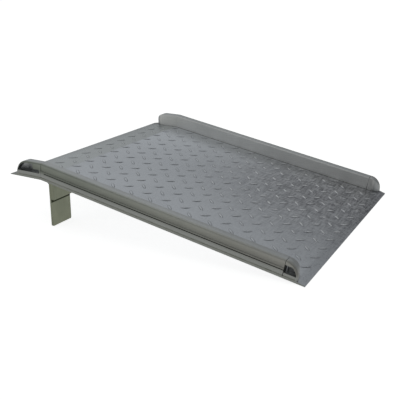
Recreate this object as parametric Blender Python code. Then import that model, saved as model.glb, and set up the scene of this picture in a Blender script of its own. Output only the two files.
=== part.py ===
"""Aluminium dock board: a bent tread plate with curbs along both sides and two locking legs.

The board stands on its legs and its low edge. +X runs down the slope, +Y is the right-hand side as
seen from the lip, and +Z is up. The origin is on the floor, under the middle of the whole board.
"""

import math

import bmesh
import bpy

# Driving dimensions, in metres.
WIDTH = 1.524
DECK_LENGTH = 1.586
LIP_LENGTH = 0.225
PLATE = 0.0115
SLOPE = math.radians(9.6)
BEND_RADIUS = 0.045
BEVEL_LENGTH = 0.048
EDGE_THICKNESS = 0.003
GAP = 0.0003

CURB_HEIGHT = 0.0815
CURB_WIDTH = 0.058
WALL = 0.0064
UPSTAND = 0.0275
SLOT_TOP = 0.032
SLOT_START = 0.022
BEAD_HEIGHT = 0.009
FLUTE_HEIGHT = 0.006
FLUTE_DEPTH = 0.003
BEAD_DEPTH = 0.0015
OUTER_RADIUS = 0.009
INNER_RADIUS = 0.005
END_REACH = 0.074
END_ROUND = 0.054
END_RIM = 0.009
LOW_FLOOR = 0.018
LOW_CEILING = 0.060
LOW_MARGIN = 0.039
LIP_MARGIN = 0.046
LIP_FLOOR = 0.0235
LIP_PANEL = 0.053
PANEL_FOOT = 0.044
PANEL_ROOT = 0.008
SEAM_GAP = 0.003
MITRE_GAP = 0.0004
WELD_LEG = 0.005

LEG_WIDTH = 0.157
LEG_THICKNESS = 0.0127
LEG_CORNER = 0.008
LEG_FRONT = 0.0705
BAR_THICKNESS = 0.019
BAR_DEPTH = 0.0905
SIDE_INSET = 0.001
FILLET = 0.008
LEG_BEVEL = 0.007

# Places that follow from them.
SIN = math.sin(SLOPE)
COS = math.cos(SLOPE)
BEND_X = (LIP_LENGTH - DECK_LENGTH * COS + (PLATE - EDGE_THICKNESS) * SIN) / 2
BEND_Z = DECK_LENGTH * SIN + PLATE * COS
CURB_END = DECK_LENGTH - LOW_MARGIN
CURB_SEAM = CURB_END - END_REACH - SEAM_GAP
CURB_START = LIP_MARGIN - LIP_LENGTH
WELD_STOP = OUTER_RADIUS + WELD_LEG
SIDES = {"left": -1, "right": 1}


def material(name, colour, roughness, metallic=1.0):
    made = bpy.data.materials.new(name)
    made.use_nodes = True
    shader = made.node_tree.nodes["Principled BSDF"]
    shader.inputs["Base Color"].default_value = (*colour, 1.0)
    shader.inputs["Roughness"].default_value = roughness
    shader.inputs["Metallic"].default_value = metallic
    return made


def arc(centre, radius, start, end, steps):
    """Points on an arc, with its angles in degrees."""
    angles = [math.radians(start + (end - start) * i / steps) for i in range(steps + 1)]
    return [(centre[0] + radius * math.cos(a), centre[1] + radius * math.sin(a)) for a in angles]


def prism(name, outline, low, high, place):
    """A closed prism: place(a, b, c) puts outline point (a, b) at depth c, for depths low and high."""
    shape = bmesh.new()
    ends = [[shape.verts.new(place(a, b, c)) for a, b in outline] for c in (low, high)]
    shape.faces.new(ends[0])
    shape.faces.new(reversed(ends[1]))
    for i in range(len(outline)):
        j = (i + 1) % len(outline)
        shape.faces.new((ends[0][i], ends[1][i], ends[1][j], ends[0][j]))
    bmesh.ops.recalc_face_normals(shape, faces=shape.faces)
    mesh = bpy.data.meshes.new(name)
    shape.to_mesh(mesh)
    shape.free()
    made = bpy.data.objects.new(name, mesh)
    bpy.context.collection.objects.link(made)
    return made


def finish(made, look, on_slope):
    """Gives a piece its material and puts it on the bend line, level or down the slope."""
    made.data.materials.append(look)
    made.data.shade_smooth()
    made.data.set_sharp_from_angle(angle=math.radians(25))
    made.location = (BEND_X, 0, BEND_Z)
    made.rotation_euler = (0, SLOPE if on_slope else 0, 0)
    return made


def round_edges(made, wanted, radius, steps):
    """Rounds the edges for whose two ends wanted(one, other) is true; one step makes a chamfer."""
    shape = bmesh.new()
    shape.from_mesh(made.data)
    edges = [e for e in shape.edges if wanted(e.verts[0].co, e.verts[1].co)]
    bmesh.ops.bevel(
        shape, geom=edges, offset=radius, offset_type="OFFSET", segments=steps, profile=0.5, affect="EDGES"
    )
    shape.to_mesh(made.data)
    shape.free()


def cut(made, cutter, look, on_slope):
    """Cuts a hidden cutter out of a piece."""
    finish(cutter, look, on_slope)
    cutter.hide_render = True
    cutter.display_type = "WIRE"
    step = made.modifiers.new(cutter.name, "BOOLEAN")
    step.operation = "DIFFERENCE"
    step.solver = "EXACT"
    step.object = cutter


def deck_plate(look):
    """The tread plate, bent once, with its top bevelled down to a thin edge at both ends."""
    half = SLOPE / 2
    top_tangent = (BEND_RADIUS + PLATE) * math.tan(half)
    steps = 6
    points = [(-LIP_LENGTH, EDGE_THICKNESS - PLATE), (BEVEL_LENGTH - LIP_LENGTH, 0.0)]
    centre = (-top_tangent, -(BEND_RADIUS + PLATE))
    bend = math.degrees(SLOPE)
    points += arc(centre, BEND_RADIUS + PLATE, 90, 90 - bend, steps)

    def down_slope(u, n):
        return (u * COS + n * SIN, n * COS - u * SIN)

    points.append(down_slope(DECK_LENGTH - BEVEL_LENGTH, 0.0))
    points.append(down_slope(DECK_LENGTH, EDGE_THICKNESS - PLATE))
    points.append(down_slope(DECK_LENGTH, -PLATE))
    points += arc(centre, BEND_RADIUS, 90 - bend, 90, steps)
    points.append((-LIP_LENGTH, -PLATE))
    made = prism("deck_plate", points, -WIDTH / 2, WIDTH / 2, lambda a, b, c: (a, c, b))
    return finish(made, look, on_slope=False)


def across(side):
    """Places (along, up, depth from the board's outer edge)."""
    return lambda along, up, depth: (along, side * (WIDTH / 2 - depth), up + GAP)


def corner(name, tip, depth, radius, direction, side):
    """A cutter that rounds the upright inner corner of a curb end, at tip along and depth across."""
    centre = (tip - direction * radius, depth - radius)
    curve = [(centre[0] + direction * a, centre[1] + b) for a, b in arc((0, 0), radius, 90, 0, 10)]
    outside = [(tip + direction * WALL, centre[1]), (tip + direction * WALL, depth + WALL)]
    outline = [(centre[0], depth + WALL), *curve, *outside]
    place = across(side)
    return prism(name, outline, -WALL, CURB_HEIGHT + WALL, lambda along, deep, up: place(along, up, deep))


def shell(name, outline, hollow, mouth, groove, tip, direction, side, look, on_slope):
    """A curb end: its side outline, less the hollow inside it and the mouth in its outer wall.

    groove is where the weld under its outer foot starts and ends, along the board. The inner corner
    at the tip is rounded, and the hollow follows it.
    """
    place = across(side)
    made = prism(name, outline, 0, CURB_WIDTH, place)

    def top_edge(depth):
        def wanted(one, other):
            at_depth = abs(abs(one.y) - depth) + abs(abs(other.y) - depth) < 1e-5
            at_foot = one.z < WALL and other.z < WALL
            at_root = abs(one.z - other.z) > CURB_HEIGHT / 2
            return at_depth and not at_foot and not at_root
        return wanted

    def along(depth, height, distance):
        return place(distance, height, depth)

    round_edges(made, top_edge(WIDTH / 2), OUTER_RADIUS, 6)
    round_edges(made, top_edge(WIDTH / 2 - CURB_WIDTH), INNER_RADIUS, 2)
    finish(made, look, on_slope)
    cut(made, corner(name + "_corner", tip, CURB_WIDTH, END_ROUND, direction, side), look, on_slope)
    inside = prism(name + "_hollow", hollow, WALL, CURB_WIDTH - WALL, place)
    inner_tip = tip - direction * WALL
    inner_corner = corner(name + "_web", inner_tip, CURB_WIDTH - WALL, END_ROUND - WALL, direction, side)
    cut(inside, inner_corner, look, on_slope)
    cut(made, inside, look, on_slope)
    cut(made, prism(name + "_mouth", mouth, -WALL, WALL * 1.5, place), look, on_slope)
    edge = [(-WELD_LEG, -WELD_LEG), (2 * WELD_LEG, -WELD_LEG), (-WELD_LEG, 2 * WELD_LEG)]
    cut(made, prism(name + "_groove", edge, *groove, along), look, on_slope)
    return made


def rounded_end(tip, root, rim, floor, direction, lean=0.0, ceiling=CURB_HEIGHT):
    """A side outline with an elliptical quarter-round end, a rim within the curb's own outline.

    It is cut off level at floor and ceiling, and runs from root to the tip and back; direction is
    +1 or -1 along the board, and the root leans by lean for each unit of height.
    """
    centre = tip - direction * END_REACH
    reach = END_REACH - rim
    height = CURB_HEIGHT - rim
    start = math.degrees(math.asin(floor / height))
    curve = [(centre + direction * a * reach, b * height) for a, b in arc((0, 0), 1, start, 90, 14)]
    top = min(height, ceiling)
    curve = [(a, min(b, top)) for a, b in curve]
    return [(root + lean * floor, floor), *curve, (root + lean * top, top)]


def curb_low_end(side_name, side, look):
    """The quarter-round piece that ends a curb at the foot of the slope, open on its outer side."""
    root = CURB_SEAM + SEAM_GAP / 2
    beyond = root - WALL
    return shell(
        "curb_low_end_" + side_name,
        rounded_end(CURB_END, root, 0.0, 0.0, 1),
        rounded_end(CURB_END, beyond, WALL, WALL, 1),
        rounded_end(CURB_END, beyond, END_RIM, LOW_FLOOR, 1, ceiling=LOW_CEILING),
        (beyond, CURB_END - WELD_STOP),
        CURB_END,
        1,
        side,
        look,
        on_slope=True,
    )


def curb_lip(side_name, side, look):
    """The level piece of a curb, on the lip: a rounded open end, then a panel with a slot under it."""
    root = -MITRE_GAP / 2
    mouth = rounded_end(CURB_START, -PANEL_ROOT, END_RIM, LIP_FLOOR, -1)
    mouth[-1] = (-LIP_PANEL, CURB_HEIGHT - END_RIM)
    mouth += [(-LIP_PANEL, PANEL_FOOT), (-PANEL_ROOT, PANEL_FOOT)]
    return shell(
        "curb_lip_" + side_name,
        rounded_end(CURB_START, root, 0.0, 0.0, -1, lean=math.tan(SLOPE / 2)),
        rounded_end(CURB_START, root + WALL, WALL, WALL, -1),
        mouth,
        (CURB_START + WELD_STOP, WALL),
        CURB_START,
        -1,
        side,
        look,
        on_slope=False,
    )


def curb_section():
    """The main curb's outer shape as (depth from the outer edge, height), with its bead and flute."""
    bead_top = SLOT_TOP + BEAD_HEIGHT
    flute_top = bead_top + FLUTE_HEIGHT
    points = [(WELD_LEG, 0.0), (0.0, WELD_LEG), (0.0, bead_top - BEAD_DEPTH), (BEAD_DEPTH, bead_top)]
    points += [(FLUTE_DEPTH, bead_top + BEAD_DEPTH), (FLUTE_DEPTH, flute_top - BEAD_DEPTH)]
    points.append((BEAD_DEPTH, flute_top + BEAD_DEPTH))
    points += arc((BEAD_DEPTH + OUTER_RADIUS, CURB_HEIGHT - OUTER_RADIUS), OUTER_RADIUS, 180, 90, 8)
    points += arc((CURB_WIDTH - INNER_RADIUS, CURB_HEIGHT - INNER_RADIUS), INNER_RADIUS, 90, 0, 3)
    points.append((CURB_WIDTH, 0.0))
    return points


def hollow_section():
    """The space inside the main curb, with the same bull-nosed outer corner."""
    radius = OUTER_RADIUS - WALL
    left = BEAD_DEPTH + WALL
    top = CURB_HEIGHT - WALL
    points = [(CURB_WIDTH - WALL, top), (CURB_WIDTH - WALL, WALL), (left, WALL)]
    points += arc((left + radius, top - radius), radius, 180, 90, 6)
    return points


def curb_main(side_name, side, look):
    """The long channel of a curb, mitred at the bend, with a slot along its outer wall."""
    name = "curb_main_" + side_name
    place = across(side)

    def between_ends(depth, height, end):
        mitre = MITRE_GAP / 2 - height * math.tan(SLOPE / 2)
        return place(CURB_SEAM - SEAM_GAP / 2 if end else mitre, height, depth)

    def along(depth, height, distance):
        return place(distance, height, depth)

    made = finish(prism(name, curb_section(), 0, 1, between_ends), look, on_slope=True)
    hollow = prism(name + "_hollow", hollow_section(), -CURB_WIDTH, DECK_LENGTH, along)
    slot_outline = [(-WALL, UPSTAND), (WALL * 1.5, UPSTAND), (WALL * 1.5, SLOT_TOP), (-WALL, SLOT_TOP)]
    cut(made, hollow, look, on_slope=True)
    cut(made, prism(name + "_slot", slot_outline, SLOT_START, DECK_LENGTH, along), look, on_slope=True)
    return made


def groove_weld(name, start, end, side, look, on_slope):
    """A weld ground flush in the groove between a curb's outer foot and the plate's edge."""
    clear = 2 * GAP
    outline = [(0.0, 0.0), (WELD_LEG - clear, 0.0), (0.0, WELD_LEG - clear)]
    place = across(side)
    made = prism(name, outline, start, end, lambda depth, height, distance: place(distance, height, depth))
    return finish(made, look, on_slope)


def underside(x):
    """The height of the sloping plate's underside at world x, less the gap."""
    return BEND_Z - PLATE / COS - (x - BEND_X) * SIN / COS - GAP


def upright(name, outline, back, front, look):
    """A vertical plate across the board: an outline as (y, height), cut to the underside above it."""
    made = prism(name, outline, back, front, lambda y, height, x: (x, y, min(height, underside(x))))
    made.data.materials.append(look)
    made.data.shade_smooth()
    made.data.set_sharp_from_angle(angle=math.radians(25))
    return made


def leg(side_name, side, look):
    """A locking leg: a flat bar with rounded foot corners, its top bevelled behind for the weld."""
    outer = WIDTH / 2 - SIDE_INSET
    inner = outer - LEG_WIDTH
    outline = [(inner, BEND_Z)]
    outline += arc((inner + LEG_CORNER, LEG_CORNER), LEG_CORNER, 180, 270, 4)
    outline += arc((outer - LEG_CORNER, LEG_CORNER), LEG_CORNER, 270, 360, 4)
    outline.append((outer, BEND_Z))
    outline = [(side * y, height) for y, height in outline]
    back = LEG_X - LEG_THICKNESS
    made = upright("leg_" + side_name, outline, back, LEG_X, look)

    def top_of_back(one, other):
        at_back = abs(one.x - back) + abs(other.x - back) < 1e-5
        return at_back and min(one.z, other.z) > underside(back) - LEG_CORNER

    round_edges(made, top_of_back, LEG_BEVEL, 1)
    return made


def cross_bar(look):
    """The flat bar across the board in front of both legs."""
    half = WIDTH / 2 - SIDE_INSET
    outline = [(-half, BAR_FOOT), (half, BAR_FOOT), (half, BEND_Z), (-half, BEND_Z)]
    return upright("cross_bar", outline, LEG_X + GAP, LEG_X + BAR_THICKNESS, look)


def fillet_weld(name, corner, direction, low, high, look):
    """A fillet weld under the plate, along Y from low to high, in the corner at world x."""
    x = corner + direction * GAP
    throat = 0.62 * FILLET
    outline = [
        (x, underside(x) - GAP),
        (x, underside(x) - FILLET),
        (x + direction * throat, underside(x) - throat),
        (x + direction * FILLET, underside(x + direction * FILLET) - GAP),
    ]
    made = prism(name, outline, low, high, lambda a, b, c: (a, c, b))
    made.data.materials.append(look)
    return made


def leg_back_weld(side_name, side, look):
    """The weld that fills the bevel on a leg's back, between the leg and the plate above it."""
    x = LEG_X - LEG_THICKNESS
    toe = x - FILLET
    foot = underside(x) - LEG_BEVEL + GAP
    root = x + LEG_BEVEL * COS - 3 * GAP
    outline = [
        (toe, underside(toe) - GAP),
        (x - FILLET / 2, foot + LEG_BEVEL / 3),
        (x, foot),
        (root, underside(root) - GAP),
    ]
    full = WIDTH / 2 - SIDE_INSET
    ends = sorted((side * full, side * (full - LEG_WIDTH)))
    made = prism("weld_leg_back_" + side_name, outline, *ends, lambda a, b, c: (a, c, b))
    made.data.materials.append(look)
    return made


def leg_side_weld(side_name, side, look):
    """The upright fillet weld between a leg's inner side and the cross bar's back."""
    x = LEG_X
    y = WIDTH / 2 - SIDE_INSET - LEG_WIDTH - GAP
    throat = 0.62 * FILLET
    outline = [(x, y), (x - FILLET, y), (x - throat, y - throat), (x, y - FILLET)]
    outline = [(a, side * b) for a, b in outline]
    top = underside(x) - 2 * FILLET
    made = prism("weld_leg_side_" + side_name, outline, BAR_FOOT, top, lambda a, b, c: (a, b, c))
    made.data.materials.append(look)
    return made


LEG_X = BEND_X + LEG_FRONT * COS - PLATE * SIN
BAR_FOOT = underside(LEG_X + BAR_THICKNESS) - BAR_DEPTH


def build():
    for old in list(bpy.data.objects):
        bpy.data.objects.remove(old, do_unlink=True)

    deck = material("deck_aluminium", (0.52, 0.54, 0.57), 0.38)
    curb = material("curb_aluminium", (0.44, 0.46, 0.41), 0.45)
    legs = material("leg_aluminium", (0.36, 0.37, 0.30), 0.50)
    weld = material("weld_aluminium", (0.55, 0.56, 0.55), 0.35)

    deck_plate(deck)
    cross_bar(legs)
    between_legs = WIDTH / 2 - SIDE_INSET - LEG_WIDTH - GAP - FILLET
    full = WIDTH / 2 - SIDE_INSET
    fillet_weld("weld_bar_front", LEG_X + BAR_THICKNESS, 1, -full, full, weld)
    fillet_weld("weld_bar_back", LEG_X, -1, -between_legs, between_legs, weld)

    for side_name, side in SIDES.items():
        curb_lip(side_name, side, curb)
        curb_main(side_name, side, curb)
        curb_low_end(side_name, side, curb)
        leg(side_name, side, legs)
        leg_side_weld(side_name, side, weld)
        leg_back_weld(side_name, side, weld)
        groove_weld("weld_curb_lip_" + side_name, CURB_START + WELD_STOP + GAP, -MITRE_GAP, side, weld, False)
        groove_weld("weld_curb_main_" + side_name, MITRE_GAP, CURB_SEAM - SEAM_GAP / 2, side, weld, True)
        low_start = CURB_SEAM + SEAM_GAP / 2
        groove_weld("weld_curb_low_" + side_name, low_start, CURB_END - WELD_STOP - GAP, side, weld, True)


build()
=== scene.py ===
"""Looks for the aluminium dock board: raised tread, softened metal edges, rippled welds, studio and camera.

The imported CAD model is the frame. +X runs down the slope, +Z is up, and everything is in metres.
"""

import math

import bmesh
import bpy
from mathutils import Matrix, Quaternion, Vector
from mathutils.geometry import delaunay_2d_cdt

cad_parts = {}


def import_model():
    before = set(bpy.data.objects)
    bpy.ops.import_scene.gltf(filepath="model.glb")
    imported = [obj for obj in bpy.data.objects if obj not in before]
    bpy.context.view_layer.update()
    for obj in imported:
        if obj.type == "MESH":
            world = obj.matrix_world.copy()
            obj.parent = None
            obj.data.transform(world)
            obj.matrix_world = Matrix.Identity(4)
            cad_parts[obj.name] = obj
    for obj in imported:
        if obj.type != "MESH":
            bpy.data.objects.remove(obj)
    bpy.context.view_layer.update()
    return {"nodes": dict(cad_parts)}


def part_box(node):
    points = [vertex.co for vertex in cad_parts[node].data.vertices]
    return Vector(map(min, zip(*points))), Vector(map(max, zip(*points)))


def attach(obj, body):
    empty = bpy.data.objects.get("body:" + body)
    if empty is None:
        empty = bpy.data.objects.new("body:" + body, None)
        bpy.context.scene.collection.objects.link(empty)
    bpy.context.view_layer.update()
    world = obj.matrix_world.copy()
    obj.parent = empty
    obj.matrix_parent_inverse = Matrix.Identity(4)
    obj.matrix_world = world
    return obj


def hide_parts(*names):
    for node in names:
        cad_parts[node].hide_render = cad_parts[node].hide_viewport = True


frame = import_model()

# The camera, as a photographer would set it.
CAMERA_PLACE = Vector((1.7249, -3.2974, 1.3549))
CAMERA_AZIMUTH = 28.6276
CAMERA_ELEVATION = 19.5916
CAMERA_ROLL = 0.5223
CAMERA_LENS = 57.375

# The tread: lugs in two crossing families on one square lattice, in metres along and across the deck,
# with rows tried out to a count each way.
TREAD_PITCH = 0.1259
TREAD_FIRST_ALONG = 0.0823
TREAD_FIRST_ACROSS = -0.5334
LUG_TURNS = (-math.pi / 4, math.pi / 4)
LUG_ROWS = 14
LUG_LENGTH = 0.061
LUG_WIDTH = 0.0170
LUG_HEIGHT = 0.0030
CURB_CLEARANCE = 0.004
LOW_EDGE = 0.012

# A lug's mesh: points round it, rings as shares of its outline, a flat ring just outside it, and
# the power that makes its crown flat.
LUG_POINTS = 24
LUG_RINGS = (1.0, 0.93, 0.84, 0.70, 0.45)
LUG_SKIRT = 1.18
LUG_FLATNESS = 4.5

# Painted shade along a lug's sides: where it is thickest, as a share of the outline, and how far it spreads.
LUG_SHADE_SHARE = 0.97
LUG_SHADE_SPREAD = 0.21

# The deck's slope, the direction square to it and how far along that its top lies, where traffic has
# worn it and where it is painted darker as painted shade for its dimmer reflection, and how far its bend
# lies from the middle.
SLOPE = math.radians(9.6)
SQUARE = Vector((math.sin(SLOPE), 0.0, math.cos(SLOPE)))
DECK_RISE = max(v.co.dot(SQUARE) for v in frame["nodes"]["deck_plate"].data.vertices if v.co.x > 0)
SCUFFED_AND_SHADED_PLACE = (0.70, 0.45, 0.05)
SCUFFED_AND_SHADED_REACH = 1.2
BEND_DISTANCE = 0.669

# Colours of the metal, each from its darkest to its lightest.
DECK_CLEAN = ((0.46, 0.48, 0.51), (0.63, 0.655, 0.685))
DECK_LIP = ((0.42, 0.445, 0.45), (0.56, 0.585, 0.59))
# Scuffed skin at the foot of the slope: real scuffing, and partly painted shade.
DECK_SCUFFED_AND_SHADED = ((0.17, 0.17, 0.185), (0.53, 0.535, 0.555))
# Polished crowns: real polish, and a painted glint.
DECK_POLISHED_GLINT = ((0.78, 0.79, 0.80), (0.93, 0.94, 0.95))
# Painted shade on the lugs' sides.
DECK_LUG_SHADE = ((0.08, 0.085, 0.09), (0.18, 0.185, 0.19))
# Painted shade on the deck's two side faces.
DECK_SIDE_SHADE = ((0.32, 0.33, 0.30), (0.42, 0.43, 0.40))
CURB_TOP = ((0.47, 0.485, 0.485), (0.59, 0.605, 0.605))
# Painted light on the curbs' inner faces.
CURB_INSIDE_LIT = ((0.72, 0.72, 0.695), (0.86, 0.86, 0.835))
# Painted shade on the curbs' outer faces, the band below their slot included.
CURB_BY_LIP = ((0.30, 0.325, 0.275), (0.38, 0.405, 0.35))
CURB_BY_FOOT = ((0.40, 0.395, 0.36), (0.48, 0.475, 0.435))
CURB_BAND = ((0.39, 0.40, 0.375), (0.47, 0.48, 0.455))
# The bar skin's olive cast is painted light.
BAR_SKIN = ((0.42, 0.445, 0.33), (0.53, 0.555, 0.42))
# Painted shadow under the cross bar.
BAR_SHADOW = ((0.03, 0.035, 0.02), (0.10, 0.11, 0.07))
WELD_SKIN = ((0.22, 0.23, 0.19), (0.38, 0.39, 0.34))

# Widths of the softened edges, and the angles past which an edge is softened and a fold is sharp.
PLATE_EDGE = 0.0008
BAR_EDGE = 0.0009
CURB_EDGE = 0.0004
PLATE_EDGE_ANGLE = 60
PLATE_FOLD_ANGLE = 28
PIECE_EDGE_ANGLE = 32
BEAD_FOLD_ANGLE = 50

# The room: levels of light, which way its bright panel and its front light lie, and the floor's glow in
# front of the board, behind it and to the eye.
ROOM_LEVEL = 0.24
PANEL_LEVEL = 0.33
FRONT_LEVEL = 0.30
PANEL_SIDE = (-0.40, -0.50, 0.77)
FRONT_SIDE = (-0.42, -0.88, 0.22)
FLOOR_GLOW = 0.27
FLOOR_BACK = 0.03
FLOOR_WHITE = 0.84
FLOOR_SIZE = 60.0
FLOOR_GAP = 0.0005
TOP_LIGHT_PLACE = (-0.6, -0.4, 3.4)
TOP_LIGHT_SIZE = (3.0, 2.4)
TOP_LIGHT_WATTS = 9.0

# Weld ripples: their pitch, rings of points for each, and how far they step in.
RIPPLE = 0.0048
RIPPLE_STEPS = 4
RIPPLE_DEPTH = 0.16

SIDES = ("left", "right")


# ---------------------------------------------------------------- node helpers

class Nodes:
    """Short ways to build a node tree. All but add and bump return the socket of their result."""

    def __init__(self, tree):
        self.tree = tree
        self.join = tree.links.new

    def add(self, kind, **values):
        """A new node, with the values of its inputs or settings."""
        node = self.tree.nodes.new(kind)
        for key, value in values.items():
            if key in node.inputs:
                node.inputs[key].default_value = value
            else:
                setattr(node, key, value)
        return node

    def stretched(self, stretch, turn=0.0):
        """Object coordinates stretched along each axis, and turned about Z, in radians."""
        coordinates = self.add("ShaderNodeTexCoord")
        mapping = self.add("ShaderNodeMapping", Scale=stretch, Rotation=(0.0, 0.0, turn))
        self.join(coordinates.outputs["Object"], mapping.inputs["Vector"])
        return mapping.outputs["Vector"]

    def noise(self, vector, scale, detail=3.0, roughness=0.55):
        node = self.add("ShaderNodeTexNoise", Scale=scale, Detail=detail, Roughness=roughness)
        self.join(vector, node.inputs["Vector"])
        return node.outputs["Fac"]

    def ramp(self, value, low, high, to_low=0.0, to_high=1.0, smooth=False):
        """value, clamped from low..high onto to_low..to_high."""
        node = self.add("ShaderNodeMapRange", interpolation_type="SMOOTHSTEP" if smooth else "LINEAR")
        self.join(value, node.inputs["Value"])
        node.inputs["From Min"].default_value = low
        node.inputs["From Max"].default_value = high
        node.inputs["To Min"].default_value = to_low
        node.inputs["To Max"].default_value = to_high
        return node.outputs["Result"]

    def total(self, *terms):
        """The sum of (value, weight) terms."""
        result = None
        for value, weight in terms:
            node = self.add("ShaderNodeMath", operation="MULTIPLY_ADD")
            self.join(value, node.inputs[0])
            node.inputs[1].default_value = weight
            node.inputs[2].default_value = 0.0
            if result is not None:
                self.join(result, node.inputs[2])
            result = node.outputs["Value"]
        return result

    def product(self, one, other):
        node = self.add("ShaderNodeMath", operation="MULTIPLY")
        self.join(one, node.inputs[0])
        self.join(other, node.inputs[1])
        return node.outputs["Value"]

    def spot(self, centre, radius):
        """1 at a place on the object, falling smoothly to 0 at radius from it."""
        coordinates = self.add("ShaderNodeTexCoord")
        away = self.add("ShaderNodeVectorMath", operation="DISTANCE")
        self.join(coordinates.outputs["Object"], away.inputs[0])
        away.inputs[1].default_value = centre
        return self.ramp(away.outputs["Value"], 0.0, radius, 1.0, 0.0, smooth=True)

    def towards(self, vector, direction, low, high, smooth=False):
        """0 to 1 as a vector's share along a direction goes from low to high."""
        dot = self.add("ShaderNodeVectorMath", operation="DOT_PRODUCT")
        self.join(vector, dot.inputs[0])
        dot.inputs[1].default_value = direction
        return self.ramp(dot.outputs["Value"], low, high, smooth=smooth)

    def along(self, direction, low, high):
        """0 to 1 as the object coordinate along a direction goes from low to high."""
        return self.towards(self.add("ShaderNodeTexCoord").outputs["Object"], direction, low, high)

    def outward(self, start, full):
        """0 to 1 as the distance from the middle plane goes from start to full, on either side of it."""
        left = self.along((0.0, -1.0, 0.0), start, full)
        right = self.along((0.0, 1.0, 0.0), start, full)
        return self.total((left, 1.0), (right, 1.0))

    def attribute(self, name):
        return self.add("ShaderNodeAttribute", attribute_name=name).outputs["Fac"]

    def tint(self, share, dark, light):
        """A colour from dark to light by share."""
        node = self.add("ShaderNodeMix", data_type="RGBA")
        self.join(share, node.inputs["Factor"])
        node.inputs["A"].default_value = (*dark, 1.0)
        node.inputs["B"].default_value = (*light, 1.0)
        return node.outputs["Result"]

    def blend(self, share, one, other):
        """A colour between two colours by share."""
        node = self.add("ShaderNodeMix", data_type="RGBA")
        self.join(share, node.inputs["Factor"])
        self.join(one, node.inputs["A"])
        self.join(other, node.inputs["B"])
        return node.outputs["Result"]

    def scaled(self, colour, share):
        """A colour made darker or lighter by a share."""
        node = self.add("ShaderNodeVectorMath", operation="SCALE")
        self.join(colour, node.inputs[0])
        self.join(share, node.inputs["Scale"])
        return node.outputs["Vector"]

    def bump(self, shader, height, distance, strength):
        node = self.add("ShaderNodeBump", Strength=strength, Distance=distance)
        self.join(height, node.inputs["Height"])
        self.join(node.outputs["Normal"], shader.inputs["Normal"])


def metal(name):
    """A new metal material, its shader and its node builder."""
    made = bpy.data.materials.new(name)
    made.use_nodes = True
    shader = made.node_tree.nodes["Principled BSDF"]
    shader.inputs["Metallic"].default_value = 1.0
    return made, shader, Nodes(made.node_tree)


# ---------------------------------------------------------------- materials

def deck_material():
    """Rolled tread plate: blue-grey mill skin with painted light towards the lip, polished crowns with
    painted glints, painted shade along the lugs' sides, and darker scuffing at the foot of the slope that is
    partly painted shade.
    """
    made, shader, nodes = metal("tread_plate_aluminium")
    plain = nodes.stretched((1.0, 1.0, 1.0))
    clouds = nodes.noise(plain, 2.6, 3.0)
    mottle = nodes.noise(plain, 85.0, 4.0, 0.65)
    grain = nodes.noise(nodes.stretched((0.15, 1.0, 1.0)), 330.0, 2.0)
    scuffs = nodes.noise(nodes.stretched((1.0, 0.14, 1.0), 0.9), 85.0, 4.0, 0.72)
    crossing = nodes.noise(nodes.stretched((0.12, 1.0, 1.0), 0.25), 80.0, 4.0, 0.72)
    streaks = nodes.total((scuffs, 0.5), (crossing, 0.5))
    # Where the deck is scuffed and painted darker: real scuffing, and painted shade for its dimmer
    # reflection towards the foot.
    scuffed_and_shaded = nodes.product(nodes.spot(SCUFFED_AND_SHADED_PLACE, SCUFFED_AND_SHADED_REACH), nodes.ramp(clouds, 0.25, 0.55, 0.75, 1.0))

    shade = nodes.total((clouds, 0.30), (mottle, 0.40), (grain, 0.15), (scuffs, 0.15))
    skin = clean_skin(nodes, nodes.ramp(shade, 0.38, 0.62), mottle)
    skin = nodes.blend(scuffed_and_shaded, skin, nodes.tint(nodes.ramp(streaks, 0.43, 0.57), *DECK_SCUFFED_AND_SHADED))
    skin = lug_wear(nodes, skin, scuffed_and_shaded, mottle)
    skin = deck_edges(nodes, skin, mottle)
    nodes.join(skin, shader.inputs["Base Color"])

    gloss = nodes.total((mottle, 0.45), (clouds, 0.2), (streaks, 0.35))
    nodes.join(nodes.ramp(gloss, 0.38, 0.62, 0.24, 0.42), shader.inputs["Roughness"])
    rough = nodes.total((mottle, 0.5), (grain, 0.15), (nodes.product(streaks, scuffed_and_shaded), 0.9))
    nodes.bump(shader, rough, 0.0016, 0.6)
    return made


def clean_skin(nodes, shade, mottle):
    """The deck's unworn skin, with painted light making it a little lighter towards the right end of the
    lip, and duller on the lip.
    """
    towards_lip = nodes.along((-0.55, 0.83, 0.0), 0.15, 0.75)
    # Painted light: the skin is lightened towards the right end of the lip, as a painted reflection of the
    # bright panel.
    painted_light = nodes.ramp(towards_lip, 0.0, 1.0, 1.0, 1.14)
    on_lip = nodes.along((-1.0, 0.0, 0.0), BEND_DISTANCE - 0.007, BEND_DISTANCE + 0.007)
    skin_with_painted_light = nodes.scaled(nodes.tint(shade, *DECK_CLEAN), painted_light)
    return nodes.blend(on_lip, skin_with_painted_light, nodes.tint(mottle, *DECK_LIP))


def lug_wear(nodes, skin, scuffed_and_shaded, mottle):
    """The skin with crowns that traffic has polished, brightened by a painted glint, and painted shade along
    the lugs' sides.
    """
    # Crowns polished by traffic, brightest where the deck is scuffed: real polish, and a painted glint for
    # the light they catch.
    crown = nodes.ramp(nodes.attribute("raised"), 0.55, 0.95)
    crown = nodes.product(crown, nodes.ramp(mottle, 0.35, 0.55, 0.5, 1.0))
    crown = nodes.product(crown, nodes.ramp(scuffed_and_shaded, 0.05, 0.6, 0.12, 1.0))
    polished_glint = nodes.tint(nodes.ramp(mottle, 0.3, 0.7), *DECK_POLISHED_GLINT)
    skin = nodes.blend(crown, skin, polished_glint)
    # Painted shade: the lugs' sides are darkened, most where the deck is unscuffed.
    lug_side_shade = nodes.product(nodes.attribute("lug_side_shade"), nodes.ramp(scuffed_and_shaded, 0.0, 0.8, 0.95, 0.35))
    return nodes.blend(lug_side_shade, skin, nodes.tint(mottle, *DECK_LUG_SHADE))


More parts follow.
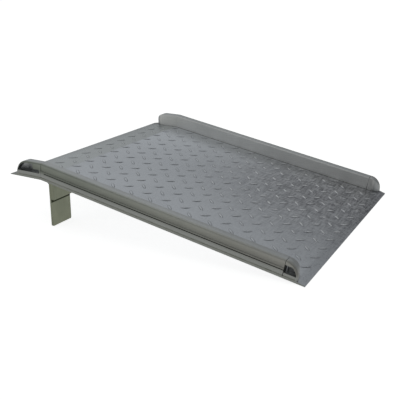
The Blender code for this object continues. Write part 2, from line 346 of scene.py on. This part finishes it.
def deck_edges(nodes, skin, mottle):
    """The skin with painted shade in the corner along each curb, and painted olive shade on the two side
    faces.
    """
    curb_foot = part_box("curb_main_right")[0].y
    curb_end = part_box("curb_low_end_right")[1].x
    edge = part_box("deck_plate")[1].y
    beside = nodes.along((-1.0, 0.0, 0.0), -curb_end, 0.03 - curb_end)
    # Painted shade: the deck darkens in the corner along each curb.
    corner_shade = nodes.product(nodes.outward(curb_foot - 0.014, curb_foot - 0.003), beside)
    skin = nodes.scaled(skin, nodes.ramp(corner_shade, 0.0, 1.0, 1.0, 0.45))
    # Painted shade: the deck's two side faces are darker and olive.
    return nodes.blend(nodes.outward(edge - 0.0015, edge - 0.0005), skin, nodes.tint(mottle, *DECK_SIDE_SHADE))


def curb_material():
    """Mill-finish channel: die lines along it, painted light on the inside, painted olive shade outside, and
    the outside darker towards the lip.
    """
    made, shader, nodes = metal("curb_aluminium")
    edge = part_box("deck_plate")[1].y
    plain = nodes.stretched((1.0, 1.0, 1.0))
    die = nodes.noise(nodes.stretched((0.02, 1.0, 1.0)), 300.0, 3.0, 0.6)
    clouds = nodes.noise(plain, 5.0, 3.0)
    spots = nodes.noise(plain, 95.0, 3.0, 0.6)
    scratches = nodes.noise(nodes.stretched((1.0, 1.0, 0.06)), 140.0, 3.0, 0.7)
    shade = nodes.total((die, 0.35), (clouds, 0.35), (spots, 0.2), (scratches, 0.1))
    shade = nodes.ramp(shade, 0.40, 0.60)

    # Painted light: the inner face is painted lighter than the top.
    past_inner_face = nodes.outward(edge - 0.0575, edge - 0.0535)
    skin_with_painted_light = nodes.blend(past_inner_face, nodes.tint(shade, *CURB_INSIDE_LIT), nodes.tint(shade, *CURB_TOP))
    # Painted shade: the outer faces are darker and olive; they are also darker towards the lip.
    down_slope = nodes.along((1.0, 0.0, 0.0), -0.7, 0.8)
    outside_shade = nodes.blend(down_slope, nodes.tint(shade, *CURB_BY_LIP), nodes.tint(shade, *CURB_BY_FOOT))
    # Painted shade in the groove above the bead: the outside darkens just above it.
    above_bead = nodes.along(SQUARE, DECK_RISE + 0.036, DECK_RISE + 0.068)
    outside_shade = nodes.scaled(outside_shade, nodes.ramp(above_bead, 0.0, 1.0, 0.70, 0.97))
    # The band below the slot has its own painted shade.
    above_band = nodes.along(SQUARE, DECK_RISE + 0.018, DECK_RISE + 0.034)
    side = nodes.blend(above_band, nodes.tint(shade, *CURB_BAND), outside_shade)
    on_side = nodes.outward(edge - 0.024, edge - 0.002)
    nodes.join(nodes.blend(on_side, skin_with_painted_light, side), shader.inputs["Base Color"])

    gloss = nodes.total((spots, 0.5), (clouds, 0.3), (die, 0.2))
    nodes.join(nodes.ramp(gloss, 0.36, 0.64, 0.36, 0.52), shader.inputs["Roughness"])
    nodes.bump(shader, nodes.total((die, 0.6), (spots, 0.4)), 0.0004, 0.5)
    return made


def bar_material():
    """Flat bar: mill skin with a painted olive cast, roll lines, dark outer edges, and a painted shadow just
    under the cross bar.
    """
    made, shader, nodes = metal("bar_aluminium")
    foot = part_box("cross_bar")[0].z
    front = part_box("leg_left")[1].x
    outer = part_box("leg_right")[1].y
    plain = nodes.stretched((1.0, 1.0, 1.0))
    roll = nodes.noise(nodes.stretched((1.0, 1.0, 0.03)), 300.0, 3.0, 0.6)
    clouds = nodes.noise(plain, 9.0, 3.0)
    spots = nodes.noise(plain, 110.0, 3.0, 0.6)
    shade = nodes.ramp(nodes.total((roll, 0.3), (clouds, 0.5), (spots, 0.2)), 0.40, 0.60)

    outer_edge = nodes.outward(outer - 0.002, outer - 0.001)
    # The skin's olive cast is painted light; the outer edges are darker.
    skin = nodes.scaled(nodes.tint(shade, *BAR_SKIN), nodes.ramp(outer_edge, 0.0, 1.0, 1.0, 0.72))
    # Painted shadow: a thin dark band on the legs' fronts just under the cross bar.
    below_bar = nodes.along((0.0, 0.0, -1.0), -foot - 0.001, -foot + 0.0005)
    not_far_below = nodes.along((0.0, 0.0, 1.0), foot - 0.0190, foot - 0.0170)
    on_front = nodes.along((1.0, 0.0, 0.0), front - 0.004, front - 0.001)
    shadow_under_bar = nodes.product(nodes.product(not_far_below, below_bar), on_front)
    skin = nodes.blend(shadow_under_bar, skin, nodes.tint(spots, *BAR_SHADOW))
    nodes.join(skin, shader.inputs["Base Color"])

    gloss = nodes.total((spots, 0.5), (clouds, 0.3), (roll, 0.2))
    nodes.join(nodes.ramp(gloss, 0.36, 0.64, 0.40, 0.56), shader.inputs["Roughness"])
    nodes.bump(shader, nodes.total((roll, 0.6), (spots, 0.4)), 0.0004, 0.5)
    return made


def weld_material():
    """As-welded bead: a grey skin, sooty in patches."""
    made, shader, nodes = metal("weld_bead_aluminium")
    plain = nodes.stretched((1.0, 1.0, 1.0))
    patches = nodes.noise(plain, 24.0, 3.0)
    grain = nodes.noise(plain, 900.0, 2.0)
    shade = nodes.ramp(nodes.total((patches, 0.7), (grain, 0.3)), 0.36, 0.62)
    nodes.join(nodes.tint(shade, *WELD_SKIN), shader.inputs["Base Color"])
    nodes.join(nodes.ramp(patches, 0.35, 0.65, 0.34, 0.52), shader.inputs["Roughness"])
    nodes.bump(shader, grain, 0.0003, 0.6)
    return made


# ---------------------------------------------------------------- the tread plate

def side_chain(node, up):
    """The deck's side profile as (x, z) points from the lip to the low edge: its top, or its underside."""
    mesh = node.data
    found = {}
    for face in mesh.polygons:
        if face.normal.z * up > 0.5:
            for index in face.vertices:
                corner_shade = mesh.vertices[index].co
                found[(round(corner_shade.x, 5), round(corner_shade.z, 5))] = (corner_shade.x, corner_shade.z)
    return [found[key] for key in sorted(found)]


class Profile:
    """The top of the deck: a point is a distance along it from the lip's edge, y across, and a height."""

    def __init__(self, points):
        self.points = [Vector(p) for p in points]
        self.lengths = [0.0]
        for one, other in zip(self.points, self.points[1:]):
            self.lengths.append(self.lengths[-1] + (other - one).length)

    def place(self, distance, y, height):
        """Where such a point lies in space."""
        last = len(self.points) - 2
        i = 0
        while i < last and self.lengths[i + 1] < distance:
            i += 1
        step = (self.points[i + 1] - self.points[i]).normalized()
        flat = self.points[i] + step * (distance - self.lengths[i])
        return (flat.x - step.y * height, y, flat.y + step.x * height)


def lug_share(along, across, turn):
    """How far out of a lug's middle a point lies, 1 being the outline, and how much to the lug's side."""
    a = (along * math.cos(turn) + across * math.sin(turn)) / (LUG_LENGTH / 2)
    b = (across * math.cos(turn) - along * math.sin(turn)) / (LUG_WIDTH / 2)
    share = math.hypot(a, b)
    return share, abs(b) / max(share, 1e-6)


def lug_outline(centre, turn, share):
    """Points round a lug at a share of its outline."""
    points = []
    for i in range(LUG_POINTS):
        angle = 2 * math.pi * i / LUG_POINTS
        a = share * LUG_LENGTH / 2 * math.cos(angle)
        b = share * LUG_WIDTH / 2 * math.sin(angle)
        along = centre[0] + a * math.cos(turn) - b * math.sin(turn)
        across = centre[1] + a * math.sin(turn) + b * math.cos(turn)
        points.append((along, across))
    return points


def tread_lugs(start, end, half_width, origin):
    """(along, across, turn) of every lug that lies whole between start and end, clear of the curbs."""
    reach = LUG_LENGTH / 2 * math.cos(math.pi / 4)
    lugs = []
    for family, turn in enumerate(LUG_TURNS):
        first_along = origin + TREAD_FIRST_ALONG + family * TREAD_PITCH / 2
        first_across = TREAD_FIRST_ACROSS + family * TREAD_PITCH / 2
        for i in range(-LUG_ROWS, LUG_ROWS):
            for j in range(-LUG_ROWS, LUG_ROWS):
                along = first_along + i * TREAD_PITCH
                across = first_across + j * TREAD_PITCH
                if start + reach < along < end - reach and abs(across) < half_width - reach:
                    lugs.append((along, across, turn))
    return lugs


def flat_tread(top, half_width, lugs):
    """The deck's top laid flat and cut into faces along its folds and round its lugs: points and faces."""
    points = [Vector((s, y)) for s in top.lengths for y in (-half_width, half_width)]
    edges = [(2 * i, 2 * i + 1) for i in range(len(top.lengths))]
    edges += [(2 * i + k, 2 * i + 2 + k) for i in range(len(top.lengths) - 1) for k in (0, 1)]
    for along, across, turn in lugs:
        for share in (LUG_SKIRT, *LUG_RINGS):
            first = len(points)
            points += [Vector(p) for p in lug_outline((along, across), turn, share)]
            edges += [(first + i, first + (i + 1) % LUG_POINTS) for i in range(LUG_POINTS)]
    verts, _, faces, _, _, _ = delaunay_2d_cdt(points, edges, [], 0, 1e-6)
    return verts, faces


def lug_finder(lugs):
    """A function that says how far out of its nearest lug a point lies, and how much to the lug's side."""
    grid = {}
    for lug in lugs:
        grid.setdefault((round(lug[0] / TREAD_PITCH), round(lug[1] / TREAD_PITCH)), []).append(lug)

    def nearest(point):
        i, j = round(point.x / TREAD_PITCH), round(point.y / TREAD_PITCH)
        near = [lug for a in (-1, 0, 1) for b in (-1, 0, 1) for lug in grid.get((i + a, j + b), [])]
        shares = [lug_share(point.x - along, point.y - across, turn) for along, across, turn in near]
        return min(shares + [(LUG_SKIRT, 0.0)])

    return nearest


def tread_plate(look):
    """The deck with its lugs raised out of the top skin, as one closed mesh."""
    node = frame["nodes"]["deck_plate"]
    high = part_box("deck_plate")[1]
    top = Profile(side_chain(node, 1))
    under = side_chain(node, -1)
    level = [s for s, p in zip(top.lengths, top.points) if abs(p.y - high.z) < 1e-5]
    bevel_end, bend = level[0], level[-1]
    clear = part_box("curb_main_right")[0].y - CURB_CLEARANCE
    lugs = tread_lugs(bevel_end, top.lengths[-1] - LOW_EDGE, clear, bend)
    points, faces = flat_tread(top, high.y, lugs)
    nearest = lug_finder(lugs)

    shape = bmesh.new()
    raised = shape.verts.layers.float.new("raised")
    # How much painted shade falls on each point of a lug's sides.
    lug_side_shade = shape.verts.layers.float.new("lug_side_shade")
    skin = []
    for point in points:
        share, side = nearest(point)
        rise = LUG_HEIGHT * (1 - min(1.0, share) ** LUG_FLATNESS)
        skin.append(shape.verts.new(top.place(point.x, point.y, rise)))
        skin[-1][raised] = rise / LUG_HEIGHT
        skin[-1][lug_side_shade] = side * max(0.0, 1 - abs(share - LUG_SHADE_SHARE) / LUG_SHADE_SPREAD)
    for face in faces:
        shape.faces.new([skin[i] for i in face])
    close_below(shape, skin, points, under, high.y)
    made = as_object("tread_deck", shape, look, PLATE_FOLD_ANGLE)
    soften(made, PLATE_EDGE, PLATE_EDGE_ANGLE)
    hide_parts("deck_plate")
    return settle(made)


def close_below(shape, skin, points, under, half_width):
    """The deck's two sides, its ends and its underside."""
    sides = []
    for y in (-half_width, half_width):
        upper = sorted((v for v, p in zip(skin, points) if abs(p.y - y) < 1e-6), key=lambda v: v.co.x)
        lower = [shape.verts.new((x, y, z)) for x, z in under]
        shape.faces.new(upper + list(reversed(lower)))
        sides.append((upper, lower))
    left, right = sides
    for i in range(len(under) - 1):
        shape.faces.new((left[1][i], left[1][i + 1], right[1][i + 1], right[1][i]))
    for end in (0, -1):
        shape.faces.new((left[0][end], left[1][end], right[1][end], right[0][end]))
    bmesh.ops.recalc_face_normals(shape, faces=shape.faces)


def as_object(name, shape, look, sharp_degrees):
    """A new object from a bmesh, smooth but for its sharp edges."""
    mesh = bpy.data.meshes.new(name)
    shape.to_mesh(mesh)
    shape.free()
    mesh.materials.append(look)
    mesh.shade_smooth()
    mesh.set_sharp_from_angle(angle=math.radians(sharp_degrees))
    made = bpy.data.objects.new(name, mesh)
    bpy.context.scene.collection.objects.link(made)
    return made


def soften(made, width, angle):
    """A small rounding along every edge that turns by more than an angle, in degrees."""
    edge = made.modifiers.new("edge", "BEVEL")
    edge.width = width
    edge.segments = 2
    edge.limit_method = "ANGLE"
    edge.angle_limit = math.radians(angle)
    return edge


def settle(made):
    """Puts a visible piece on the board's body."""
    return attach(made, "root")


# ---------------------------------------------------------------- curbs, legs, bar

def softened(name, node_name, look, width):
    """A welded copy of a CAD piece, its flat faces whole again and its edges softened."""
    shape = bmesh.new()
    shape.from_mesh(frame["nodes"][node_name].data)
    bmesh.ops.remove_doubles(shape, verts=shape.verts, dist=2e-5)
    bmesh.ops.dissolve_limit(
        shape, angle_limit=math.radians(0.6), use_dissolve_boundaries=False,
        verts=shape.verts, edges=shape.edges,
    )
    made = as_object(name, shape, look, PIECE_EDGE_ANGLE)
    soften(made, width, PIECE_EDGE_ANGLE).harden_normals = True
    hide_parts(node_name)
    return settle(made)


def rippled(node_name, look):
    """A weld bead swept between a CAD weld's two ends, with the ripples that a torch leaves."""
    node = frame["nodes"][node_name]
    low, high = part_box(node_name)
    axis = max(range(3), key=lambda i: high[i] - low[i])
    shape = bmesh.new()
    shape.from_mesh(node.data)
    bmesh.ops.remove_doubles(shape, verts=shape.verts, dist=1e-5)
    bmesh.ops.dissolve_limit(shape, angle_limit=math.radians(1.0), verts=shape.verts, edges=shape.edges)
    caps = sorted(shape.faces, key=lambda f: f.calc_center_median()[axis])
    start, end = caps[0], caps[-1]
    ring = [v.co.copy() for v in start.verts]
    other = []
    for vert in start.verts:
        across = [e.other_vert(vert) for e in vert.link_edges if e.other_vert(vert) in end.verts[:]]
        other.append(across[0].co.copy())
    shape.free()

    length = (end_middle(other) - end_middle(ring)).length
    steps = max(8, int(length / RIPPLE * RIPPLE_STEPS))
    shape = bmesh.new()
    rings = []
    for i in range(steps + 1):
        share = i / steps
        phase = share * length / RIPPLE + 0.35 * math.sin(share * length * 37.0)
        shrink = RIPPLE_DEPTH * (phase % 1.0) ** 1.6
        corners = [a.lerp(b, share) for a, b in zip(ring, other)]
        middle = end_middle(corners)
        rings.append([shape.verts.new(c.lerp(middle, shrink)) for c in corners])
    for one, two in zip(rings, rings[1:]):
        for k in range(len(ring)):
            j = (k + 1) % len(ring)
            shape.faces.new((one[k], one[j], two[j], two[k]))
    shape.faces.new(list(reversed(rings[0])))
    shape.faces.new(rings[-1])
    bmesh.ops.recalc_face_normals(shape, faces=shape.faces)
    made = as_object(node_name.replace("weld", "bead"), shape, look, BEAD_FOLD_ANGLE)
    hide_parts(node_name)
    return settle(made)


def end_middle(corners):
    return sum(corners, Vector()) / len(corners)


# ---------------------------------------------------------------- studio

def floor():
    """A pale, softly lit floor that stays near white to the eye and keeps a faint shadow."""
    made = bpy.data.materials.new("pale_floor")
    made.use_nodes = True
    tree = made.node_tree
    tree.nodes.remove(tree.nodes["Principled BSDF"])
    nodes = Nodes(tree)
    behind = nodes.along((0.0, 1.0, 0.0), 1.1, 2.0)
    eye = nodes.add("ShaderNodeLightPath")
    level = nodes.add("ShaderNodeMix", data_type="FLOAT")
    nodes.join(eye.outputs["Is Camera Ray"], level.inputs["Factor"])
    nodes.join(nodes.ramp(behind, 0.0, 1.0, FLOOR_GLOW, FLOOR_BACK), level.inputs["A"])
    level.inputs["B"].default_value = FLOOR_WHITE
    glow = nodes.add("ShaderNodeEmission")
    nodes.join(level.outputs["Result"], glow.inputs["Strength"])
    paint = nodes.add("ShaderNodeBsdfDiffuse", Color=(0.66, 0.66, 0.65, 1.0))
    both = nodes.add("ShaderNodeAddShader")
    nodes.join(glow.outputs["Emission"], both.inputs[0])
    nodes.join(paint.outputs["BSDF"], both.inputs[1])
    nodes.join(both.outputs["Shader"], tree.nodes["Material Output"].inputs["Surface"])
    shape = bmesh.new()
    bmesh.ops.create_grid(shape, x_segments=1, y_segments=1, size=FLOOR_SIZE)
    ground = as_object("floor", shape, made, 30)
    ground.location.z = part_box("leg_left")[0].z - FLOOR_GAP


def world():
    """A dim room, a bright panel low behind on the left, a softer light in front, and white to the eye."""
    made = bpy.data.worlds.new("studio")
    made.use_nodes = True
    made.node_tree.nodes.clear()
    nodes = Nodes(made.node_tree)
    direction = nodes.add("ShaderNodeTexCoord").outputs["Generated"]

    def side(way, start, full):
        """0 to 1 as the direction turns towards a side of the room."""
        return nodes.towards(direction, Vector(way).normalized(), start, full, smooth=True)

    panel = nodes.product(side(PANEL_SIDE, -0.055, 0.045), side((0, 0, -1), -0.84, -0.66))
    panel = nodes.product(panel, side((-0.3, 1, 0), 0.15, 0.45))
    lights = nodes.total((panel, PANEL_LEVEL), (side(FRONT_SIDE, 0.80, 0.97), FRONT_LEVEL))
    level = nodes.add("ShaderNodeMath", operation="ADD")
    nodes.join(lights, level.inputs[0])
    level.inputs[1].default_value = ROOM_LEVEL
    room = nodes.add("ShaderNodeBackground", Color=(0.96, 0.985, 1.0, 1.0))
    nodes.join(level.outputs["Value"], room.inputs["Strength"])
    white = nodes.add("ShaderNodeBackground", Color=(1.0, 1.0, 1.0, 1.0), Strength=1.0)
    eye = nodes.add("ShaderNodeLightPath")
    either = nodes.add("ShaderNodeMixShader")
    nodes.join(eye.outputs["Is Camera Ray"], either.inputs["Fac"])
    nodes.join(room.outputs["Background"], either.inputs[1])
    nodes.join(white.outputs["Background"], either.inputs[2])
    output = nodes.add("ShaderNodeOutputWorld")
    nodes.join(either.outputs["Shader"], output.inputs["Surface"])
    bpy.context.scene.world = made


def softbox(name, place, target, size, watts):
    """A rectangular area light at a place, turned to a target."""
    light = bpy.data.lights.new(name, "AREA")
    light.shape = "RECTANGLE"
    light.size, light.size_y = size
    light.energy = watts
    made = bpy.data.objects.new(name, light)
    made.location = place
    made.rotation_euler = (Vector(target) - Vector(place)).to_track_quat("-Z", "Y").to_euler()
    bpy.context.scene.collection.objects.link(made)


def camera():
    """The camera, turned to its azimuth and elevation, then rolled."""
    azimuth, elevation = math.radians(CAMERA_AZIMUTH), math.radians(CAMERA_ELEVATION)
    back = Vector((
        math.sin(azimuth) * math.cos(elevation),
        -math.cos(azimuth) * math.cos(elevation),
        math.sin(elevation),
    ))
    data = bpy.data.cameras.new("camera")
    data.lens = CAMERA_LENS
    data.sensor_width = 36.0
    data.clip_end = 200.0
    made = bpy.data.objects.new("camera", data)
    made.location = CAMERA_PLACE
    made.rotation_mode = "QUATERNION"
    roll = Quaternion((0.0, 0.0, 1.0), math.radians(CAMERA_ROLL))
    made.rotation_quaternion = (-back).to_track_quat("-Z", "Y") @ roll
    bpy.context.scene.collection.objects.link(made)
    bpy.context.scene.camera = made


# ---------------------------------------------------------------- the scene

camera()
curb = curb_material()
bar = bar_material()
weld = weld_material()

tread_plate(deck_material())
for side in SIDES:
    softened("curb_channel_" + side, "curb_main_" + side, curb, CURB_EDGE)
    softened("curb_nose_" + side, "curb_lip_" + side, curb, CURB_EDGE)
    softened("curb_tail_" + side, "curb_low_end_" + side, curb, CURB_EDGE)
    softened("locking_leg_" + side, "leg_" + side, bar, BAR_EDGE)
softened("leg_bar", "cross_bar", bar, BAR_EDGE)

for name in sorted(frame["nodes"]):
    if name.startswith("weld"):
        rippled(name, weld)

floor()
world()
softbox("top_light", TOP_LIGHT_PLACE, (0.0, 0.0, 0.2), TOP_LIGHT_SIZE, TOP_LIGHT_WATTS)
bpy.context.scene.view_settings.view_transform = "Standard"
